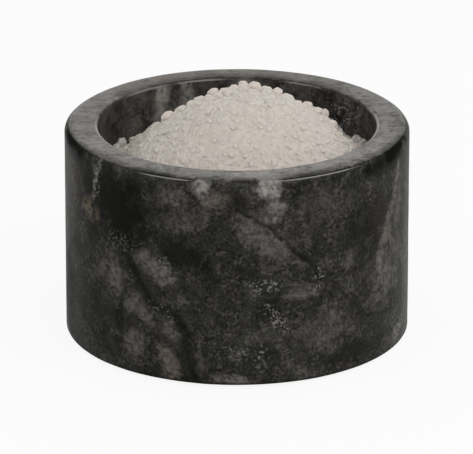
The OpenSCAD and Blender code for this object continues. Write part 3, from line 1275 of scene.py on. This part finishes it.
@dataclass
class SaltHeap:
    """The heap: a cone with a round crest and a full right shoulder, of crystals packed together.

    Attributes:
        sizes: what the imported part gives.
        crest_r: the radius of the crest.
        slope: the slope of the flanks, from level.
        crest_x: how far the crest lies to the right.
        swells: where the heap departs from a cone.
        lump_size, lump_h: the size and the height of its lumps.
        settle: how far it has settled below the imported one.
        crystal_size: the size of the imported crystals.
        crystal_rise, crystal_tilt: how much their levels and their tilts differ.
        level_zero: the chance, of -1 to 1, at which a crystal is level with the heap.
        notch_depth, notch_width: the depth and the width of the notches between them.
        outline_back, outline_slope: how far back the heap's outline lies, as seen from the front:
            at the least, and for each millimetre to the side of the crest.
        bore_corner_r: the radius between the bore and its floor.
        corner_steps, rings, turns: the number of steps round that corner, outwards and round the heap.
        finish: the salt.
    """

    sizes: FrameSizes
    crest_r: float = 27.0
    slope: float = 36.5
    crest_x: float = 2.4
    swells: tuple[Swell, ...] = (
        Swell(22.3, 11.5, 4.0, 1.5),
        Swell(6.5, 9.0, 5.5, 0.3),
        Swell(16.5, 8.5, 2.0, -0.8),
        Swell(29.2, 14.0, 3.6, -3.8),
        Swell(29.4, 7.0, 3.2, -2.4),
        Swell(-29.3, 15.5, 3.2, -2.8),
    )
    lump_size: float = 7.0
    lump_h: float = 0.3
    settle: float = 0.3
    crystal_size: float = 1.9
    crystal_rise: float = 0.5
    crystal_tilt: float = 0.5
    level_zero: float = 0.4
    notch_depth: float = 0.08
    notch_width: float = 0.4
    outline_back: float = 9.0
    outline_slope: float = 0.58
    bore_corner_r: float = 8.0
    corner_steps: int = 8
    rings: int = 150
    turns: int = 600
    finish: SaltFinish = field(default_factory=lambda: SaltFinish("settled_salt"))

    def height(self, x: float, y: float) -> float:
        """Gives the height of the heap over a place.

        Args:
            x: the place to the right.
            y: the place to the back.

        Returns:
            The height above the table.
        """
        slope = math.radians(self.slope)
        away = math.hypot(x - self.crest_x, y)
        tangent = self.crest_r * math.sin(slope)
        if away < tangent:
            drop = self.crest_r - math.sqrt(self.crest_r**2 - away**2)
        else:
            drop = self.crest_r * (1 - math.cos(slope)) + (away - tangent) * math.tan(slope)
        swell = sum(swell.at(x, y) for swell in self.swells)
        lump = rolling(Vector((x, y, 0)), self.lump_size) * self.lump_h
        return self.sizes.crest_z - self.settle - drop + swell + lump

    def outline_y(self, x: float) -> float:
        """Returns how far back the heap's outline lies, as seen from the front, at a place to the right."""
        return max(self.outline_back, self.outline_slope * abs(x - self.crest_x))

    def surface(self, x: float, y: float) -> float:
        """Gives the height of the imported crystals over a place: each has a level and a tilt of its own.

        Args:
            x: the place to the right.
            y: the place to the back.

        Returns:
            The height above the table.
        """
        base = self.height(x, y)
        place = Vector((x, y, base)) / self.crystal_size
        gaps, (middle, *_) = noise.voronoi(place)
        lean = noise.cell_vector(middle * LEAN_SEED) - Vector((0.5, 0.5, 0.5))
        notch = max(0.0, 1 - (gaps[1] - gaps[0]) / self.notch_width)
        tilt = lean.xy.dot((place - middle).xy)
        level = (noise.cell(middle * LEVEL_SEED) - self.level_zero) / 2
        return base + self.crystal_rise * level + self.crystal_tilt * tilt - self.notch_depth * notch * notch

    def upward(self, x: float, y: float) -> Vector:
        """Gives the way that the heap faces over a place.

        Args:
            x: the place to the right.
            y: the place to the back.

        Returns:
            The unit vector away from the heap.
        """
        step = self.crystal_size
        fall_x = self.height(x - step, y) - self.height(x + step, y)
        fall_y = self.height(x, y - step) - self.height(x, y + step)
        return Vector((fall_x, fall_y, 2 * step)).normalized()

    def build(self) -> bpy.types.Object:
        """Makes the settled salt, closed down to the floor of the bore.

        Returns:
            The settled salt.
        """
        spoke = [(self.sizes.salt_r * i / self.rings, 0) for i in range(self.rings + 1)]
        mesh = turned(spoke, self.turns)
        for vert in mesh.verts:
            vert.co.z = self.surface(vert.co.x, vert.co.y)
        self._close(mesh)
        bmesh.ops.recalc_face_normals(mesh, faces=mesh.faces)
        return hand_over("settled_salt", mesh, self.finish.material(), ("salt_fill",))

    def _close(self, mesh: bmesh.types.BMesh) -> None:
        """Draws the edge of the heap down the bore, round its corner and across its floor."""
        edge = [item for item in mesh.edges if item.is_boundary]
        for step in range(self.corner_steps + 1):
            turn = math.pi / 2 * step / self.corner_steps
            radius = self.sizes.salt_r - self.bore_corner_r * (1 - math.cos(turn))
            grown = bmesh.ops.extrude_edge_only(mesh, edges=edge)["geom"]
            edge = [item for item in grown if isinstance(item, bmesh.types.BMEdge) and item.is_boundary]
            for vert in {vert for item in edge for vert in item.verts}:
                vert.co.xy = vert.co.xy.normalized() * radius
                vert.co.z = self.sizes.floor_z + self.bore_corner_r * (1 - math.sin(turn))
        bmesh.ops.edgeloop_fill(mesh, edges=edge)


class Habit(Enum):
    """How a crystal of salt has grown."""

    BLOCK = "a cube, longer one way, with worn edges"
    PEBBLE = "a lump, worn round in its sack"


@dataclass(frozen=True)
class Grain:
    """One crystal: where its middle lies, how it is turned, its three sides, and how it has grown."""

    place: Vector
    turn: Euler
    sides: tuple[float, float, float]
    habit: Habit = Habit.BLOCK

    @classmethod
    def tumbled(cls, place: Vector, length: float, rng: random.Random) -> Grain:
        """Returns a crystal of a length, turned any way and narrower by chance."""
        turn = Euler([rng.uniform(0, math.tau) for _ in range(3)])
        return cls(place, turn, cls._sides(length, rng))

    @classmethod
    def lying(cls, place: Vector, upward: Vector, length: float, rng: random.Random, habit: Habit) -> Grain:
        """Makes a crystal that lies on a slope, tipped a little by chance and sunk in but for its top.

        Args:
            place: where it lies.
            upward: the way that the slope faces.
            length: its length.
            rng: the source of chance.
            habit: how it has grown.

        Returns:
            The crystal.
        """
        tips = (-0.35, 0.35)
        tip = Euler((rng.uniform(*tips), rng.uniform(*tips), rng.uniform(0, math.tau)))
        turn = (upward.to_track_quat("Z", "Y") @ tip.to_quaternion()).to_euler()
        sides = cls._sides(length, rng)
        shown = length * rng.uniform(0.06, 0.2)
        return cls(place - upward * (sides[2] / 2 - shown), turn, sides, habit)

    @staticmethod
    def _sides(length: float, rng: random.Random) -> tuple[float, float, float]:
        """Returns a length, with a width and a height that are shares of it by chance."""
        return (length, length * rng.uniform(0.65, 1.0), length * rng.uniform(0.55, 0.9))

    def matrix(self) -> Matrix:
        """Returns what brings a shape of size 1 to the crystal's place, turn and sides."""
        return Matrix.LocRotScale(self.place, self.turn, Vector(self.sides))


@dataclass(frozen=True)
class Standing:
    """A large crystal that stands on end in the salt.

    Attributes:
        x: where it stands, to the right.
        y: where it stands, to the back.
        rise: how far its top stands above the heap.
        length: its length.
        width: its width.
        lean: how far it leans to the right from upright.
        twist: how far it is turned about its length.
        depth_share: its depth, as a share of its width.
    """

    x: float
    y: float
    rise: float
    length: float
    width: float
    lean: float
    twist: float
    depth_share: float = 0.8

    def grain(self, heap: SaltHeap) -> Grain:
        """Sinks the crystal in a heap as far as its rise allows.

        Args:
            heap: the heap.

        Returns:
            The crystal in its place.
        """
        place = Vector((self.x, self.y, heap.height(self.x, self.y) + self.rise - self.length / 2))
        turn = Euler((0, math.radians(self.lean), math.radians(self.twist)), "ZYX")
        return Grain(place, turn, (self.width, self.width * self.depth_share, self.length))


@dataclass
class SaltGrains:
    """The loose crystals on the heap, in pieces by where they lie.

    A pair of values is the range of what is left to chance.

    Attributes:
        heap: the heap.
        seed: the seed of chance.
        crest_patch_r: the radius of the patch that counts as the crest.
        wall_gap: how far the crystals stay off the wall.
        pitch, jitter: how far apart the small crystals lie, and how unevenly.
        smallest, largest: their lengths.
        clearance: how far a small crystal's middle stays off that gap, as a share of its length.
        block_share: the share of them that are blocks.
        large_count, large_jitter: the number of places for large crystals, and how unevenly they lie.
        large_lengths, large_widths: their lengths, and their widths as shares of these.
        large_lean, large_twist: how far they lean either way, and how far they are turned.
        low_rises, high_rises: how far they stand out of the heap, near its outline and behind it.
        outline_gap: how far behind the outline the high ones start; the low ones start twice as far in
            front of it.
        wall_count, wall_jitter: the number of crystals along the wall, and how unevenly they lie.
        wall_lengths: their lengths.
        wall_offs, wall_sunk: how far they lie off the wall and in the salt, as shares of their lengths.
        block_wear, pebble_wear: how far the corners are moved, as a share of the longest side.
        bevel_percent: how much of a block's edges is worn off.
        pebble_r: the radius of a pebble of length 1.
        standing: the large crystals that make the heap's outline in the photo.
        strays: the ones at both of its ends, near the wall.
        finish: the salt of the heap.
        wall_finish: the clearer salt along the wall.
    """

    heap: SaltHeap
    seed: int = 4
    crest_patch_r: float = 11.0
    wall_gap: float = 0.35
    pitch: float = 2.0
    jitter: float = 0.5
    smallest: float = 0.9
    largest: float = 1.6
    clearance: float = 0.6
    block_share: float = 0.7
    large_count: int = 160
    large_jitter: float = 1.0
    large_lengths: tuple[float, float] = (1.8, 2.7)
    large_widths: tuple[float, float] = (0.8, 1.2)
    large_lean: float = 35.0
    large_twist: float = 90.0
    low_rises: tuple[float, float] = (-0.05, 0.15)
    high_rises: tuple[float, float] = (0.15, 0.45)
    outline_gap: float = 3.5
    wall_count: int = 40
    wall_jitter: float = 0.4
    wall_lengths: tuple[float, float] = (1.4, 2.4)
    wall_offs: tuple[float, float] = (0.65, 1.2)
    wall_sunk: float = 0.2
    block_wear: float = 0.1
    pebble_wear: float = 0.08
    bevel_percent: float = 20.0
    pebble_r: float = 0.58
    standing: tuple[Standing, ...] = (
        Standing(1.6, 12.9, 1.7, 3.0, 2.4, 5, 20),
        Standing(4.7, 6.4, 1.05, 2.4, 3.2, -10, 55),
        Standing(7.9, 10.9, 0.85, 2.3, 2.8, 15, 10),
        Standing(10.4, 5.6, 1.15, 2.3, 2.9, 20, 70),
        Standing(13.5, 13.4, 1.2, 2.4, 3.2, 25, 25),
        Standing(-0.7, 7.9, 0.75, 1.9, 2.3, 0, 35),
        Standing(-3.4, 13.4, 0.8, 2.0, 2.9, -10, 80),
        Standing(-6.3, 5.8, 0.95, 2.2, 2.9, -15, 50),
        Standing(-9.7, 11.6, 0.8, 2.2, 3.0, -20, 15),
        Standing(-12.1, 5.6, 0.6, 2.0, 2.4, -30, 60),
        Standing(-14.7, 13.5, 0.95, 2.2, 2.8, -30, 40),
        Standing(-18.0, 8.6, 1.2, 2.7, 3.2, -20, 60),
        Standing(-21.6, 15.5, 0.6, 2.3, 3.3, -30, 25),
        Standing(-25.6, 13.2, 0.6, 2.2, 2.8, -30, 75),
        Standing(18.4, 13.1, 1.35, 2.8, 2.6, 20, 30),
        Standing(21.0, 7.8, 1.0, 2.3, 2.9, 25, 65),
        Standing(23.1, 14.5, 1.9, 3.0, 2.0, 20, 5),
        Standing(-27.3, 16.0, 2.2, 3.0, 2.2, -10, 40),
    )
    strays: tuple[Standing, ...] = (
        Standing(-30.5, 12.0, 3.2, 4.2, 2.3, 4, 10),
        Standing(-31.6, 9.5, 1.8, 3.0, 1.9, -8, 50),
        Standing(30.9, 13.0, 3.0, 3.9, 2.1, 22, 20),
        Standing(31.8, 12.0, 2.4, 3.2, 1.8, 35, 60),
        Standing(32.9, 10.0, 1.7, 2.4, 1.6, 40, 15),
        Standing(27.4, 11.5, 1.5, 2.7, 1.3, -15, 40),
    )
    finish: SaltFinish = field(
        default_factory=lambda: SaltFinish(
            "loose_salt", pale=(0.76, 0.69, 0.62, 1), dull=(0.67, 0.6, 0.535, 1), translucent=0.0
        )
    )
    wall_finish: SaltFinish = field(
        default_factory=lambda: SaltFinish(
            "clear_salt", pale=(0.74, 0.7, 0.65, 1), dull=(0.58, 0.55, 0.51, 1), translucent=0.0, clear=0.25
        )
    )

    def build(self) -> list[bpy.types.Object]:
        """Makes every loose crystal.

        Returns:
            The pieces.
        """
        rng = random.Random(self.seed)
        fields: dict[str, list[Grain]] = {name: [] for name in ("crest", "front", "right", "back", "left")}
        wall = self._along_wall(rng) + [crystal.grain(self.heap) for crystal in self.strays]
        placed = [crystal.grain(self.heap) for crystal in self.standing]
        for grain in self._scattered(rng) + self._uncovered(rng) + placed:
            fields[self._field(grain.place)].append(grain)
        material = self.finish.material()
        pieces = [self._piece("crest_grains", fields.pop("crest"), material, rng, ("crest_crystals",))]
        for name, grains in fields.items():
            nodes = ("flank_crystals",) if name == "front" else ()
            pieces.append(self._piece(f"flank_grains_{name}", grains, material, rng, nodes))
        pieces.append(self._piece("wall_grains", wall, self.wall_finish.material(), rng, ("wall_crystals",)))
        return pieces

    def _field(self, place: Vector) -> str:
        """Names the part of the heap that a place belongs to.

        Args:
            place: the place.

        Returns:
            The name: crest, or the side of the flanks.
        """
        x, y = place.x - self.heap.crest_x, place.y
        if math.hypot(x, y) < self.crest_patch_r:
            return "crest"
        if abs(x) > abs(y):
            return "right" if x > 0 else "left"
        return "back" if y > 0 else "front"

    @staticmethod
    def _spread(count: int, reach: float, jitter: float, rng: random.Random) -> Iterator[tuple[float, float]]:
        """Spreads places evenly over a disc, on a spiral of golden turns, and moves each by chance.

        Args:
            count: the number of places.
            reach: the radius of the disc.
            jitter: how far a place is moved each way.
            rng: the source of chance.

        Yields:
            Each place to the right and to the back.
        """
        for index in range(count):
            away = reach * math.sqrt((index + 0.5) / count)
            turn = index * GOLDEN_TURN
            x = away * math.cos(turn) + rng.uniform(-jitter, jitter)
            y = away * math.sin(turn) + rng.uniform(-jitter, jitter)
            yield x, y

    def _scattered(self, rng: random.Random) -> list[Grain]:
        """Strews small crystals evenly over the heap.

        Args:
            rng: the source of chance.

        Returns:
            The crystals.
        """
        reach = self.heap.sizes.salt_r - self.wall_gap
        count = int(math.pi * reach**2 / self.pitch**2)
        grains = []
        for x, y in self._spread(count, reach, self.jitter, rng):
            length = rng.uniform(self.smallest, self.largest)
            if math.hypot(x, y) + length * self.clearance > reach:
                continue
            place = Vector((x, y, self.heap.surface(x, y)))
            habit = Habit.BLOCK if rng.random() < self.block_share else Habit.PEBBLE
            grains.append(Grain.lying(place, self.heap.upward(x, y), length, rng, habit))
        return grains

    def _uncovered(self, rng: random.Random) -> list[Grain]:
        """Lays large crystals on the crest and behind it, which stand out most at the back.

        Args:
            rng: the source of chance.

        Returns:
            The crystals.
        """
        reach = self.heap.sizes.salt_r - 2 * self.largest
        grains = []
        for x, y in self._spread(self.large_count, reach, self.large_jitter, rng):
            length = rng.uniform(*self.large_lengths)
            behind = y - self.heap.outline_y(x)
            rise = rng.uniform(*(self.high_rises if behind > self.outline_gap else self.low_rises))
            width = length * rng.uniform(*self.large_widths)
            lean = rng.uniform(-self.large_lean, self.large_lean)
            twist = rng.uniform(0, self.large_twist)
            if behind > -2 * self.outline_gap:
                grains.append(Standing(x, y, rise, length, width, lean, twist).grain(self.heap))
        return grains

    def _along_wall(self, rng: random.Random) -> list[Grain]:
        """Lays crystals in the groove between the heap and the wall.

        Args:
            rng: the source of chance.

        Returns:
            The crystals.
        """
        reach = self.heap.sizes.salt_r - self.wall_gap
        grains = []
        for index in range(self.wall_count):
            turn = math.tau * (index + rng.uniform(-self.wall_jitter, self.wall_jitter)) / self.wall_count
            length = rng.uniform(*self.wall_lengths)
            away = reach - length * rng.uniform(*self.wall_offs)
            x, y = away * math.cos(turn), away * math.sin(turn)
            place = Vector((x, y, self.heap.height(x, y) - length * self.wall_sunk))
            grains.append(Grain.tumbled(place, length, rng))
        return grains

    def _piece(self, name: str, grains: list[Grain], material: bpy.types.Material, rng: random.Random,
               replaces: tuple[str, ...]) -> bpy.types.Object:
        """Makes one piece of many crystals.

        Args:
            name: the piece's name.
            grains: its crystals.
            material: its finish.
            rng: the source of chance.
            replaces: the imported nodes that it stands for.

        Returns:
            The piece.
        """
        mesh = bmesh.new()
        for grain in grains:
            if grain.habit is Habit.BLOCK:
                made = bmesh.ops.create_cube(mesh, size=1.0, matrix=grain.matrix())
                self._wear(made["verts"], max(grain.sides) * self.block_wear, rng)
        bmesh.ops.bevel(mesh, geom=mesh.edges, offset=self.bevel_percent, offset_type="PERCENT", segments=1,
                        profile=0.5, affect="EDGES", material=-1)
        for grain in grains:
            if grain.habit is Habit.PEBBLE:
                made = bmesh.ops.create_icosphere(
                    mesh, subdivisions=1, radius=self.pebble_r, matrix=grain.matrix()
                )
                self._wear(made["verts"], max(grain.sides) * self.pebble_wear, rng)
        return hand_over(name, mesh, material, replaces, smooth=False)

    @staticmethod
    def _wear(verts: list[bmesh.types.BMVert], reach: float, rng: random.Random) -> None:
        """Moves each corner of a crystal by up to a reach."""
        for vert in verts:
            vert.co += Vector([rng.uniform(-reach, reach) for _ in range(3)])


@dataclass(frozen=True)
class SoftBox:
    """A soft studio lamp that is aimed at the bowl.

    Attributes:
        name: its name.
        azimuth: where it stands round the bowl.
        elevation: how high it stands above the horizon.
        distance: how far it is, in metres.
        width: its width, in metres.
        height: its height, in metres.
        power: its power, in watts.
    """

    name: str
    azimuth: float
    elevation: float
    distance: float
    width: float
    height: float
    power: float

    def build(self, aim: Vector) -> None:
        """Sets up the lamp.

        Args:
            aim: the point that it faces, in metres.
        """
        lamp = bpy.data.lights.new(self.name, "AREA")
        lamp.shape = "RECTANGLE"
        lamp.size, lamp.size_y = self.width, self.height
        lamp.energy = self.power
        stand = put_in_scene(self.name, lamp)
        set_up(stand, aim, self.azimuth, self.elevation, self.distance)
        stand.visible_camera = False


def set_up(thing: bpy.types.Object, aim: Vector, azimuth: float, elevation: float, distance: float) -> None:
    """Places a lamp or the camera so that it faces a point.

    Args:
        thing: the lamp or the camera.
        aim: the point that it faces, in metres.
        azimuth: where it stands round that point.
        elevation: how high it stands above the horizon.
        distance: how far it is from the point, in metres.
    """
    turn, rise = math.radians(azimuth), math.radians(elevation)
    away = Vector((math.sin(turn) * math.cos(rise), -math.cos(turn) * math.cos(rise), math.sin(rise)))
    thing.location = aim + away * distance
    thing.rotation_euler = away.to_track_quat("Z", "Y").to_euler()


@dataclass
class Studio:
    """The pale floor, the white surroundings, the lamps and the camera.

    Attributes:
        floor_half: half the width of the floor, in metres.
        floor_gap: how far the floor lies below the pads, in millimetres.
        floor_white: how much of the floor's white doesn't depend on light.
        ambient: the light of the surroundings on the object.
        elevation: how high the camera stands above the horizon.
        distance: how far the camera is from what it aims at, in metres.
        focal_px: the focal length, in pixels of the photo.
        aim: the point that the camera and the lamps face.
        boxes: the lamps.
    """

    floor_half: float = 6.0
    floor_gap: float = 0.02
    floor_white: float = 0.9
    ambient: float = 0.6
    elevation: float = 20.39
    distance: float = 1.4669
    focal_px: float = 5592.0
    aim: tuple[float, float, float] = (-0.13, 0.0, 27.68)
    boxes: tuple[SoftBox, ...] = (
        SoftBox("key_box", 32, 41, 1.0, 1.2, 0.4, 3.4),
    )

    def build(self) -> None:
        """Sets up everything that isn't part of the object."""
        scene = bpy.context.scene
        scene.view_settings.view_transform = "Standard"
        self._world()
        self._floor()
        for box in self.boxes:
            box.build(Vector(self.aim) * MM)
        self._camera()

    @staticmethod
    def _seen(graph: Graph) -> Expr:
        """Tells which rays see the surroundings, rather than bring their light to the object.

        Args:
            graph: the nodes of a material or world.

        Returns:
            1 where a ray comes from the camera, a reflection or a clear piece, and else 0.
        """
        rays = graph.node("ShaderNodeLightPath", {}, {}, "Is Camera Ray").socket.node.outputs
        seen = (Expr(graph, rays[f"Is {name} Ray"]) for name in ("Camera", "Glossy", "Transmission"))
        return reduce(Expr.most, seen)

    def _world(self) -> None:
        """Makes white surroundings that light the object at a plain level."""
        world = bpy.data.worlds.new("white_surroundings")
        world.use_nodes = True
        bpy.context.scene.world = world
        graph = Graph(world.node_tree)
        strength = self._seen(graph).above(self.ambient)
        light = graph.node("ShaderNodeBackground", {}, {"Color": grey(1.0), "Strength": strength})
        graph.node("ShaderNodeOutputWorld", {}, {"Surface": light})

    def _floor(self) -> None:
        """Makes the pale floor, which keeps the object's shadow."""
        mesh = bmesh.new()
        below = Matrix.Translation((0, 0, -self.floor_gap * MM))
        bmesh.ops.create_grid(mesh, x_segments=1, y_segments=1, size=self.floor_half, matrix=below)
        made, graph = Graph.of_material("pale_floor")
        lit = graph.node("ShaderNodeBsdfDiffuse", {}, {"Color": grey(0.95)})
        white = graph.node("ShaderNodeEmission", {}, {"Color": grey(1.0), "Strength": 1.0})
        graph.surface(graph.blended(self._seen(graph) * self.floor_white, lit, white))
        floor = mesh_object("pale_floor", mesh, made)
        floor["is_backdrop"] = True

    def _camera(self) -> None:
        """Sets the camera where the photo was taken from."""
        data = bpy.data.cameras.new("camera")
        data.sensor_width = 36.0
        data.lens = self.focal_px / PHOTO_WIDTH * data.sensor_width
        data.clip_end = 20.0
        camera = put_in_scene("camera", data)
        set_up(camera, Vector(self.aim) * MM, 0.0, self.elevation, self.distance)
        bpy.context.scene.camera = camera


def write_sizes(packed: tuple[Vector, Vector], shown: tuple[Vector, Vector]) -> None:
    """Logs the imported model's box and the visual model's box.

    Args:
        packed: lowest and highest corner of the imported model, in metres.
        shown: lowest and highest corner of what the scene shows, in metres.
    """
    for name, (low, high) in {"packed": packed, "shown": shown}.items():
        LOG.info("%s box: %s mm", name, " x ".join(f"{side / MM:.2f}" for side in high - low))


def main() -> None:
    """Builds the salt cellar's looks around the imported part."""
    logging.basicConfig(level=logging.INFO, format="%(name)s: %(message)s")
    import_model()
    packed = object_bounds()
    sizes = FrameSizes.read()
    Studio().build()
    MarbleBowl(sizes).build()
    FootPads(sizes).build()
    heap = SaltHeap(sizes)
    heap.build()
    SaltGrains(heap).build()
    write_sizes(packed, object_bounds())


if __name__ == "__main__":
    main()
